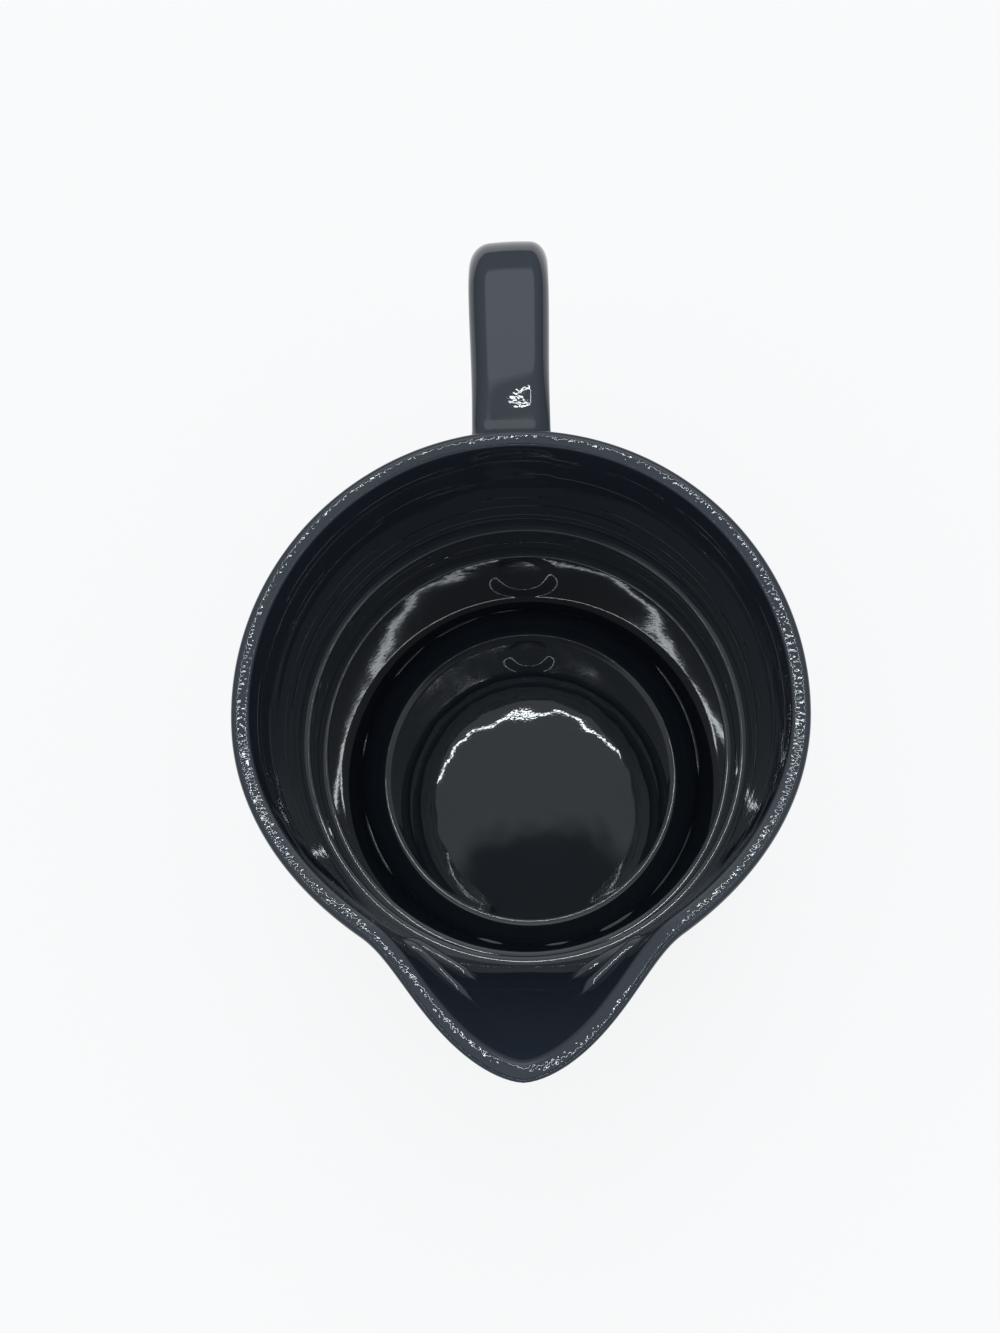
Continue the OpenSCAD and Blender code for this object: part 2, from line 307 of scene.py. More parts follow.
class JugStage(bpy.types.PropertyGroup):
    """Floor, light and camera."""

    floor_colour: colour("Floor", "Colour of the floor", (0.93, 0.93, 0.93))
    sky_colour: colour("Sky Colour", "Colour of the light", (0.89, 0.96, 1.0))
    zenith_level: level("Zenith", "Level of the light from above", 1.05)
    horizon_level: level("Horizon", "Level of the light from the sides", 0.3)
    ceiling_height: length("Ceiling", "Height of the round lamp over the table", 1.5)
    ring_radius: length("Round Lamp", "Radius of the round lamp", 0.358)
    ring_width: length("Round Lamp Width", "Width of its glowing band", 0.005)
    ring_level: level("Round Lamp Level", "Brightness of the round lamp", 46)
    window_height: angle("Window Height", "Angle of the soft window, behind the handle", 57)
    window_level: level("Window", "Level that the window adds", 1.1)
    shade_tilt: angle("Shade Tilt", "Tilt of the soft shade overhead, away from the handle", 4)
    shade_level: level("Shade", "Share of the light that it takes", 0.8, max=1, subtype="FACTOR")
    camera_place: FloatVectorProperty(
        name="Camera Place",
        description="Place of the camera",
        default=(4.19 * MM, -30.27 * MM, 253.35 * MM),
        size=3,
        subtype="TRANSLATION",
        unit="LENGTH",
        precision=5,
    )
    camera_turn: angle("Camera Turn", "Turn of the picture about the upright", -1.45)
    camera_tilt: angle("Camera Tilt", "Tilt from straight down towards the handle", 13.4)
    camera_pan: angle("Camera Pan", "Pan of the camera to the side", 2.9)
    lens: FloatProperty(
        name="Lens",
        description="Focal length on a sensor 36 mm wide",
        default=34.56,
        min=1,
        unit="CAMERA",
    )


# Curves and outlines


def ease(share):
    """Smooth step from 0 to 1."""
    u = min(1.0, max(0.0, share))
    return u * u * (3 - 2 * u)


def soft_step(place):
    """Ramp of slope 1 that starts softly at 0."""
    bend = math.exp(-place * place) / math.sqrt(math.pi)
    return (place * (1 + math.erf(place)) + bend) / 2


def line(start, end, steps):
    """Points along a line, without its start."""
    return [start.lerp(end, i / steps) for i in range(1, steps + 1)]


def heading(degrees):
    """Direction at an angle in degrees."""
    return Vector((math.cos(math.radians(degrees)), math.sin(math.radians(degrees))))


def arc(centre, radius, start, end, steps):
    """Points along an arc between two angles in degrees, without its start."""
    sweep = end - start
    return [centre + radius * heading(start + sweep * i / steps) for i in range(1, steps + 1)]


def waver(place, wavelength):
    """Slow unevenness of hand work, from -1 to 1."""
    return noise.noise(place / wavelength)


def bore_radius(sizes):
    """Inside radius of the straight wall."""
    return sizes.body_radius - sizes.wall


def floor_radius(sizes):
    """Radius at which the floor begins to turn up into the wall."""
    return bore_radius(sizes) - sizes.inner_corner


def wall_outline(sizes, turn, rise):
    """Outside of the collar in plan, at an angle from the spout and a share of its height."""
    off = abs(math.remainder(turn, math.tau))
    half = sizes.throat_half_angle + (sizes.spout_half_angle - sizes.throat_half_angle) * rise
    lip = (1 - min(1.0, off / half) ** LIP_BLUNT) ** LIP_FLARE
    drawn = ease((sizes.draw_end_angle - off) / (sizes.draw_end_angle - sizes.spout_half_angle))
    pull = (sizes.spout_reach + sizes.draw_in) * lip - sizes.draw_in * drawn
    radius = sizes.body_radius + rise**PULL_GROWTH * pull
    return radius * Vector((math.sin(turn), -math.cos(turn)))


def wall_inward(sizes, turn, rise):
    """Direction from the outside of the collar to its inside, in plan."""
    before = wall_outline(sizes, turn - OUTLINE_STEP, rise)
    along = wall_outline(sizes, turn + OUTLINE_STEP, rise) - before
    return Vector((-along.y, along.x)).normalized()


def floor_slope(sizes, radius):
    """Slope of the floor: level in the middle, steepest at its turn, less steep at its edge."""
    away = radius - sizes.floor_turn
    spread = sizes.floor_inner if away < 0 else sizes.floor_outer
    return sizes.floor_slope * math.exp(-((away / spread) ** 2))


def uneven_floor(sizes, place):
    """How far a point of the floor is moved up by the unevenness of hand work."""
    radius = max(MERGE_DISTANCE, place.xy.length)
    out = max(0.0, radius - sizes.floor_turn) / (floor_radius(sizes) - sizes.floor_turn)
    warp = sizes.floor_warp * min(1.0, out) ** 2 * place.x / radius
    lost = ease((radius / sizes.floor_turn - RIPPLE_LOSS_START) / RIPPLE_LOSS_RUN)
    calm = 1 - RIPPLE_LOSS * lost
    return warp + sizes.floor_ripple * calm * waver(place, RIPPLE_WAVE)


def throwing_line(radius, height, size):
    """A throwing line: a half-round ridge in the inner wall."""
    foot = Vector((radius, height - size))
    return [foot, *arc(Vector((radius, height)), size, 270, 90, THROWING_STEPS)]


def ledge(radius, height, size, slopes=LEDGE_SLOPES):
    """A ring in the inner wall: a small ledge with a sloping, slightly crowned top."""
    outer, inner = [90 + slope for slope in slopes]
    crown = size / (heading(outer).x - heading(inner).x)
    middle = Vector((radius, height)) - crown * heading(outer)
    nose = LEDGE_NOSE * size
    tip = middle + (crown - nose) * heading(inner)
    points = [Vector((radius, height - LEDGE_FOOT * size)), tip - Vector((nose, 0))]
    points += arc(tip, nose, 180, inner, LEDGE_STEPS)
    return points + arc(middle, crown, inner, outer, LEDGE_STEPS)


def ridged(radius, low, high, ridges):
    """Inner wall from one height up to another, with the outlines of ridges between."""
    points = [Vector((radius, low))]
    for ridge in [*ridges, [Vector((radius, high))]]:
        rows = max(1, round((ridge[0].y - points[-1].y) / INNER_WALL_ROW))
        points += line(points[-1], ridge[0], rows) + ridge[1:]
    return points


def throwing_lines(sizes, low, high):
    """Throwing lines between two heights, at an uneven pitch."""
    lines = []
    height = low + sizes.throwing_pitch / 2
    while height < high - sizes.throwing_pitch / 2:
        uneven = waver(Vector((0, 0, height)), THROWING_WAVE)
        size = sizes.throwing_size * (1 + THROWING_SIZE_SPREAD * uneven)
        lines.append(throwing_line(bore_radius(sizes), height, size))
        height += sizes.throwing_pitch * (1 + THROWING_PITCH_SPREAD * uneven)
    return lines


def wall_rings(sizes):
    """Heights and sizes of the rings in the wall of the body."""
    return (
        (sizes.ring_height, sizes.ring_size),
        (sizes.seam_height - SEAM_RING_DROP * sizes.seam_ring, sizes.seam_ring),
    )


def spout_folds(sizes):
    """Heights and sizes of the folds that the pulling left on both sides of the spout."""
    return tuple((sizes.rim_height - drop, sizes.fold_size) for drop in FOLD_DROPS)


def on_ring(place, rings):
    """Whether a point lies on one of the rings."""
    return any(0 <= top - place.z < RING_REACH * size for top, size in rings)


def uneven_wall(sizes, place):
    """How far a point of the inner wall is moved out by the unevenness of hand work."""
    proud = max(0.0, bore_radius(sizes) - place.xy.length)
    if on_ring(place, wall_rings(sizes)):
        fade = 0
    else:
        fade = ease(FADE_MEAN - FADE_SPREAD * waver(place, FADE_WAVE))
    return proud * fade + sizes.unevenness * waver(place, WALL_WAVE)


def dimple(sizes, place, height, tall, power):
    """How far the wall is pressed out behind a joint; a higher power squares the corners."""
    across = math.atan2(place.x, place.y) * bore_radius(sizes) / (sizes.dimple_width / 2)
    up = (place.z - height) / (tall / 2)
    edge = (abs(across) ** power + abs(up) ** power) ** (1 / power)
    return sizes.dimple_depth * ease((1 - edge) / DIMPLE_SOFT)


def strap_points(handle, wall):
    """Joints and corners of the strap's middle line, in y and z, from the upper joint on."""
    root = Vector((wall.body_radius, handle.top - handle.thickness / 2))
    tail = Vector((wall.body_radius, root.y - handle.span))
    lean = math.atan2(handle.lean, handle.span - handle.tail_drop)
    spare = handle.upper_corner * (math.tan(lean) + 1 / math.cos(lean) - 1)
    upper = Vector((handle.reach - handle.thickness / 2 + spare, root.y))
    lower = Vector((upper.x - handle.lean, tail.y + handle.tail_drop))
    return root, upper, lower, tail


def root_hollow(handle, wall, place):
    """How far the upper face of the strap sinks on an even ramp towards its root."""
    across = (1 + math.erf((place.x - handle.hollow_side) / handle.hollow_side_soft)) / 2
    across *= 1 + handle.hollow_gain * place.x
    away = place.y - wall.body_radius - handle.hollow_away - handle.hollow_slant * place.x
    half = handle.hollow_run / 2
    soft = handle.hollow_soft
    ramp = soft_step((half - away) / soft) - soft_step((-half - away) / soft)
    down = ramp * soft / handle.hollow_run
    middle = handle.top - handle.thickness / 2
    upper = ease(2 * (place.z - middle) / handle.thickness)
    return handle.hollow_depth * across * down * upper


def slimmed(handle, x):
    """Place across the strap, which is narrower on its right."""
    flat = handle.strap_width / 2 - handle.edge
    return x - handle.slim * max(0.0, x - flat) / handle.edge


def strap_outline(handle, margin):
    """Outline of the strap in x and across its thickness, grown by a margin."""
    radius = handle.edge + margin
    x = handle.strap_width / 2 - handle.edge
    y = handle.thickness / 2 - handle.edge
    corners = [Vector((x, y)), Vector((-x, y)), Vector((-x, -y)), Vector((x, -y))]
    points = []
    for quarter, corner in enumerate(corners):
        start = 90 * quarter
        first = corner + radius * heading(start)
        if points:
            points += line(points[-1], first, STRAP_FACE_CUTS + 1)
        else:
            points.append(first)
        points += arc(corner, radius, start, start + 90, STRAP_EDGE_STEPS)
    return points + line(points[-1], points[0], STRAP_FACE_CUTS + 1)[:-1]


# Meshes


def spun(profile, steps, closed):
    """A mesh spun from a profile of radii and heights about the upright axis."""
    bm = bmesh.new()
    verts = [bm.verts.new((0, p.x, p.y)) for p in profile]
    pairs = list(zip(verts, verts[1:]))
    if closed:
        pairs.append((verts[-1], verts[0]))
    edges = [bm.edges.new(pair) for pair in pairs]
    bmesh.ops.spin(
        bm,
        geom=verts + edges,
        cent=(0, 0, 0),
        axis=(0, 0, 1),
        angle=math.tau,
        steps=steps,
        use_merge=True,
    )
    bmesh.ops.remove_doubles(bm, verts=bm.verts, dist=MERGE_DISTANCE)
    return bm


def ring_edges(bm, ring):
    """Edges of a closed ring of vertices."""
    return [bm.edges.get(pair) for pair in zip(ring, ring[1:] + ring[:1])]


def lofted(rings):
    """A closed mesh through rings of points, from the last ring back to the first."""
    bm = bmesh.new()
    first = bmesh.ops.create_circle(bm, segments=len(rings[0]), radius=1)["verts"]
    for vert, place in zip(first, rings[0]):
        vert.co = place
    ring = first
    for places in rings[1:]:
        made = bmesh.ops.extrude_edge_only(bm, edges=ring_edges(bm, ring))["geom"]
        grown = {g for g in made if isinstance(g, bmesh.types.BMVert)}
        ring = [
            next(e.other_vert(v) for e in v.link_edges if e.other_vert(v) in grown) for v in ring
        ]
        for vert, place in zip(ring, places):
            vert.co = place
    bmesh.ops.bridge_loops(bm, edges=ring_edges(bm, ring) + ring_edges(bm, first))
    return bm


def add_piece(name, bm, material, node):
    """Makes a piece of a mesh, gives it its finish, hangs it on the root body and hides the node's
    own part.
    """
    bmesh.ops.recalc_face_normals(bm, faces=bm.faces)
    for face in bm.faces:
        face.smooth = True
    for edge in bm.edges:
        edge.smooth = edge.calc_face_angle(0) < SHARP_ANGLE
    mesh = bpy.data.meshes.new(name)
    bm.to_mesh(mesh)
    bm.free()
    mesh.materials.append(material)
    piece = bpy.data.objects.new(name, mesh)
    bpy.context.scene.collection.objects.link(piece)
    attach(piece, "root")
    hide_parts(node)


# Materials


class Shade:
    """A socket in a tree of nodes; sums on it add Math nodes."""

    def __init__(self, tree, socket=None):
        self.tree = tree
        self.socket = socket

    def node(self, kind, settings, inputs, output=0):
        """Adds a node: its settings first, then the values or links of its sockets."""
        made = self.tree.nodes.new(kind)
        for name, value in settings.items():
            if name == "stops":
                ramp = made.color_ramp
                while len(ramp.elements) < len(value):
                    ramp.elements.new(1)
                for element, (position, shade) in zip(ramp.elements, value):
                    element.position = position
                    element.color = shade
            else:
                setattr(made, name, value)
        for name, value in inputs.items():
            if isinstance(value, Shade):
                self.tree.links.new(value.socket, made.inputs[name])
            else:
                made.inputs[name].default_value = value
        return Shade(self.tree, made.outputs[output] if made.outputs else None)

    def maths(self, operation, first, second):
        """A Math node on two values."""
        return self.node("ShaderNodeMath", {"operation": operation}, {0: first, 1: second})

    def __add__(self, other):
        return self.maths("ADD", self, other)

    def __sub__(self, other):
        return self.maths("SUBTRACT", self, other)

    def __rsub__(self, other):
        return self.maths("SUBTRACT", other, self)

    def __mul__(self, other):
        return self.maths("MULTIPLY", self, other)

    __radd__ = __add__
    __rmul__ = __mul__


def new_material(name):
    """An empty material and a starting point for its nodes."""
    material = bpy.data.materials.new(name)
    material.use_nodes = True
    material.node_tree.nodes.clear()
    return material, Shade(material.node_tree)


def rgba(shade):
    """A colour with its alpha."""
    return (shade[0], shade[1], shade[2], 1.0)


def noise_at(place, size, detail=2.0):
    """Noise from 0 to 1 with features of a size in metres."""
    return place.node(
        "ShaderNodeTexNoise",
        {},
        {"Vector": place, "Scale": 1 / size, "Detail": detail, "Roughness": 0.5},
    )


def soft_range(value, low, high):
    """Smooth step from 0 to 1 as a value goes from one limit to the other."""
    return value.node(
        "ShaderNodeMapRange",
        {"interpolation_type": "SMOOTHSTEP"},
        {"Value": value, "From Min": low, "From Max": high},
    )


def blended(share, first, second):
    """A colour between two colours."""
    return share.node(
        "ShaderNodeMix",
        {"data_type": "RGBA"},
        {"Factor": share, "A": rgba(first), "B": rgba(second)},
        "Result",
    )


def bumped(height, depth, normal=None):
    """A normal that follows a height from 0 to 1, scaled to a depth in metres."""
    inputs = {"Height": height, "Strength": 1.0, "Distance": depth}
    if normal is not None:
        inputs["Normal"] = normal
    return height.node("ShaderNodeBump", {}, inputs)


def glaze_material(name, finish, swell, peel_share=1.0, rim_height=None, floor_turn=None):
    """Glossy glaze with slow swells, and orange peel that can be deeper on a rim or a floor."""
    material, start = new_material(name)
    place = start.node("ShaderNodeTexCoord", {}, {}, "Object")
    shade = blended(noise_at(place, POOL_SIZE), finish.glaze, finish.glaze_thin)
    peel = noise_at(place, PEEL_SIZE, 0.0)
    if rim_height is not None:
        height = start.node("ShaderNodeSeparateXYZ", {}, {"Vector": place}, "Z")
        on_rim = soft_range(height, rim_height - RIM_PEEL_START, rim_height - RIM_PEEL_FULL)
        peel = peel * (1 + finish.rim_peel * on_rim)
    if floor_turn is not None:
        flat = {"operation": "MULTIPLY"}
        across = start.node("ShaderNodeVectorMath", flat, {0: place, 1: (1, 1, 0)})
        radius = start.node("ShaderNodeVectorMath", {"operation": "LENGTH"}, {0: across}, "Value")
        on_floor = soft_range(radius, floor_turn, FLOOR_PEEL_FULL * floor_turn)
        peel = peel * (1 + finish.floor_peel * on_floor)
    normal = bumped(noise_at(place, SWELL_SIZE, 1.0), swell)
    normal = bumped(peel, finish.peel * peel_share, normal)
    rough = finish.gloss * (GLOSS_LEAST + GLOSS_SPREAD * noise_at(place, GLOSS_SIZE))
    surface = start.node(
        "ShaderNodeBsdfPrincipled",
        {},
        {"Base Color": shade, "Roughness": rough, "IOR": GLAZE_IOR, "Normal": normal},
    )
    start.node("ShaderNodeOutputMaterial", {}, {"Surface": surface})
    return material


def clay_material(name, finish):
    """Bare fired clay with sand grains and dark specks."""
    material, start = new_material(name)
    place = start.node("ShaderNodeTexCoord", {}, {}, "Object")
    grain = noise_at(place, GRAIN_SIZE, 4.0)
    cells = start.node(
        "ShaderNodeTexVoronoi", {}, {"Vector": place, "Scale": 1 / SPECK_PITCH}, "Distance"
    )
    speck = start.node("ShaderNodeValToRGB", {"stops": SPECK_STOPS}, {"Fac": cells})
    dark = speck * SPECK_SHARE + GRAIN_SHARE * grain
    surface = start.node(
        "ShaderNodeBsdfPrincipled",
        {},
        {
            "Base Color": blended(dark, finish.clay, finish.clay_speck),
            "Roughness": CLAY_ROUGHNESS + CLAY_ROUGHNESS_SPREAD * grain,
            "Normal": bumped(grain, GRAIN_DEPTH),
        },
    )
    start.node("ShaderNodeOutputMaterial", {}, {"Surface": surface})
    return material


def floor_material(name, stage):
    """Pale floor that keeps the shadow and is nearly white to the camera and in reflections."""
    material, start = new_material(name)
    camera, glossy, through = [
        start.node("ShaderNodeLightPath", {}, {}, ray)
        for ray in ("Is Camera Ray", "Is Glossy Ray", "Is Transmission Ray")
    ]
    seen = start.maths("MINIMUM", camera + glossy + through, 1.0)
    matt = start.node("ShaderNodeBsdfDiffuse", {}, {"Color": rgba(stage.floor_colour)})
    white = start.node("ShaderNodeEmission", {}, {"Color": (1, 1, 1, 1), "Strength": 1.0})
    surface = start.node("ShaderNodeMixShader", {}, {"Fac": seen * FLOOR_GLOW, 1: matt, 2: white})
    start.node("ShaderNodeOutputMaterial", {}, {"Surface": surface})
    return material


# Operators


class JUG_OT_body(bpy.types.Operator):
    """Add the thrown body with its floor"""

    bl_idname = "jug.body"
    bl_label = "Body"
    bl_options = {"REGISTER", "UNDO"}

    def execute(self, context):
        scene = context.scene
        sizes = scene.jug_wall
        foot = scene.jug_foot
        profile = self.floor(sizes, foot.height + sizes.floor_thickness)
        profile += self.corner(sizes, profile[-1])
        wall_foot = profile[-1].y
        profile += self.inner_wall(sizes, wall_foot)
        profile += self.outside(sizes, foot.height)
        bm = spun(profile, BODY_TURN_STEPS, False)
        self.shape_wall(bm, sizes, scene.jug_handle, wall_foot)
        finish = scene.jug_finish
        material = glaze_material(
            "thrown_glaze_body", finish, finish.wall_swell, floor_turn=sizes.floor_turn
        )
        add_piece("glazed_body", bm, material, "body")
        return {"FINISHED"}

    def floor(self, sizes, height):
        """The domed floor, from its middle to its edge."""
        points = [Vector((floor_radius(sizes), height))]
        step = floor_radius(sizes) / FLOOR_STEPS
        for _ in range(FLOOR_STEPS):
            edge = points[0]
            rise = step * math.tan(floor_slope(sizes, edge.x - step / 2))
            points.insert(0, Vector((max(0.0, edge.x - step), edge.y + rise)))
        return points

    def corner(self, sizes, edge):
        """The nearly flat ring between two creases, then a slow rounding up to the wall."""
        points = [edge]
        start = -90
        radii = (sizes.corner_crease, sizes.corner_turn, sizes.corner_crease)
        for radius, end in zip(radii, CORNER_ENDS):
            points += arc(points[-1] - radius * heading(start), radius, start, end, CREASE_STEPS)
            start = end
        slow = (bore_radius(sizes) - points[-1].x) / (1 - heading(start).x)
        points += arc(points[-1] - slow * heading(start), slow, start, 0, CORNER_STEPS)
        return points[1:]

    def inner_wall(self, sizes, low):
        """The inner wall with its rings and throwing lines, up to the edge of the seam."""
        bore = bore_radius(sizes)
        groove = sizes.seam_groove
        seam = sizes.seam_height - groove
        rise = CORNER_RING_RISE * sizes.corner_ring
        corner_ring = ledge(bore, low + rise, sizes.corner_ring)
        ring, seam_ring = [ledge(bore, height, size) for height, size in wall_rings(sizes)]
        lines = throwing_lines(sizes, sizes.ring_height + sizes.throwing_pitch, seam_ring[0].y)
        points = ridged(bore, low, seam, [corner_ring, ring, *lines, seam_ring])[1:]
        return points + arc(Vector((bore + groove, seam)), groove, 180, 90, SEAM_EDGE_STEPS)

    def outside(self, sizes, bottom):
        """The outside, from the seam down to the middle of the underside."""
        radius = sizes.body_radius
        corner = sizes.outer_corner
        low = bottom + corner
        points = [Vector((radius, sizes.seam_height))]
        points += line(points[0], Vector((radius, low)), OUTER_WALL_ROWS)
        points += arc(Vector((radius - corner, low)), corner, 0, -90, CORNER_STEPS)
        return points + line(points[-1], Vector((0, bottom)), UNDERSIDE_ROWS)

    def shape_wall(self, bm, sizes, handle, wall_foot):
        """Makes the floor and the inner wall uneven and presses the lower dimple into the wall."""
        tail = strap_points(handle, sizes)[3]
        seam = sizes.seam_height - sizes.seam_groove
        for vert in bm.verts:
            inner = vert.co.xy.length < sizes.body_radius - sizes.wall / 2
            if inner and sizes.floor_thickness < vert.co.z <= wall_foot:
                vert.co.z += uneven_floor(sizes, vert.co)
            elif inner and wall_foot < vert.co.z < seam:
                radius = vert.co.xy.length
                shift = uneven_wall(sizes, vert.co)
                shift += dimple(sizes, vert.co, tail.y, sizes.lower_dimple, LOWER_DIMPLE_POWER)
                vert.co.xy *= (radius + shift) / radius


class JUG_OT_spout_collar(bpy.types.Operator):
    """Add the collar with the rim and the pulled spout"""

    bl_idname = "jug.spout_collar"
    bl_label = "Spout Collar"
    bl_options = {"REGISTER", "UNDO"}

    def execute(self, context):
        scene = context.scene
        sizes = scene.jug_wall
        bore = bore_radius(sizes)
        groove = sizes.seam_groove
        seam = sizes.seam_height + groove
        rim = self.rim(sizes, bore)
        top = rim[-1].y
        profile = [Vector((sizes.body_radius, sizes.seam_height))]
        profile += line(profile[0], rim[0], COLLAR_ROWS) + rim[1:]
        profile += reversed(ridged(bore, seam, top, self.ridges(sizes, bore, seam, top))[:-1])
        profile += arc(Vector((bore + groove, seam)), groove, 180, 270, SEAM_EDGE_STEPS)
        bm = spun(profile, COLLAR_TURN_STEPS, True)
        self.pull_spout(bm, sizes, strap_points(scene.jug_handle, sizes)[0], top)
        finish = scene.jug_finish
        material = glaze_material(
            "thrown_glaze_collar", finish, finish.wall_swell, finish.collar_peel, sizes.rim_height
        )
        add_piece("glazed_spout_collar", bm, material, "spout_collar")
        return {"FINISHED"}

    def rim(self, sizes, bore):
        """Section of the rim: a round outer edge, a nearly flat top and a tight inner edge."""
        edge = sizes.rim_edge
        crown = sizes.rim_crown
        slopes = (sizes.rim_slope, sizes.rim_inner_slope)
        first, last = [90 + math.degrees(slope) for slope in slopes]
        points = [Vector((sizes.body_radius, sizes.rim_height - edge))]
        points += arc(points[0] - Vector((edge, 0)), edge, 0, first, RIM_EDGE_STEPS)
        points += arc(points[-1] - crown * heading(first), crown, first, last, RIM_CROWN_STEPS)
        inner = (points[-1].x - bore) / (1 - math.sin(sizes.rim_inner_slope))
        return points + arc(points[-1] - inner * heading(last), inner, last, 180, RIM_EDGE_STEPS)

    def ridges(self, sizes, bore, low, high):
        """Throwing lines and folds of the inner wall, from below."""
        ridges = []
        for height, size in spout_folds(sizes):
            fold = ledge(bore, height, size, FOLD_SLOPES)
            ridges += throwing_lines(sizes, low, fold[0].y) + [fold]
            low = height
        return ridges + throwing_lines(sizes, low, high)

    def fold_share(self, side, place):
        """How much of a fold is left at a share of the spout's half angle."""
        ends = ease(FOLD_TAPER * (FOLD_STOP - side)) * ease(FOLD_TAPER * (side - FOLD_START))
        return ends * ease(FOLD_MEAN + FOLD_SPREAD * waver(place, FOLD_WAVE))

    def pull_spout(self, bm, sizes, root, rim_foot):
        """Moves the collar out to the spout, in beside it, and presses in the upper dimple."""
        folds = spout_folds(sizes)
        for vert in bm.verts:
            turn = math.atan2(vert.co.x, -vert.co.y)
            side = abs(turn) / sizes.spout_half_angle
            inset = sizes.body_radius - vert.co.xy.length
            rise = (vert.co.z - sizes.seam_height) / (sizes.rim_height - sizes.seam_height)
            rise = max(0.0, rise)
            if inset > sizes.wall / 2 and vert.co.z < rim_foot:
                proud = inset - sizes.wall
                if on_ring(vert.co, folds):
                    inset -= proud * (1 - self.fold_share(side, vert.co))
                else:
                    smooth = ease((1 - side) / (1 - SMOOTH_SPOUT))
                    uneven = uneven_wall(sizes, vert.co) * ease(rise / COLLAR_CALM)
                    inset -= proud * smooth
                    inset -= uneven * (1 - smooth)
                inset -= dimple(sizes, vert.co, root.y, sizes.upper_dimple, UPPER_DIMPLE_POWER)
            elif inset > sizes.rim_edge:
                past = inset - sizes.rim_edge
                steep = ease(STEEP_RIM_TAPER * (STEEP_RIM_STOP - side))
                vert.co.z += sizes.rim_waver * waver(vert.co, RIM_WAVE) * past / sizes.wall
                vert.co.z -= past * steep * math.tan(sizes.spout_rim_slope)
            vert.co.xy = wall_outline(sizes, turn, rise) + inset * wall_inward(sizes, turn, rise)


class JUG_OT_foot_ring(bpy.types.Operator):
    """Add the bare foot ring"""

    bl_idname = "jug.foot_ring"
    bl_label = "Foot Ring"
    bl_options = {"REGISTER", "UNDO"}

    def execute(self, context):
        sizes = context.scene.jug_foot
        outer = sizes.radius
        inner = outer - sizes.width
        edge = sizes.edge
        profile = [Vector((outer, sizes.height)), Vector((outer, edge))]
        profile += arc(Vector((outer - edge, edge)), edge, 0, -90, FOOT_EDGE_STEPS)
        profile.append(Vector((inner + edge, 0)))
        profile += arc(Vector((inner + edge, edge)), edge, -90, -180, FOOT_EDGE_STEPS)
        profile.append(Vector((inner, sizes.height)))
        bm = spun(profile, FOOT_TURN_STEPS, True)
        material = clay_material("bare_clay", context.scene.jug_finish)
        add_piece("clay_foot_ring", bm, material, "foot_ring")
        return {"FINISHED"}


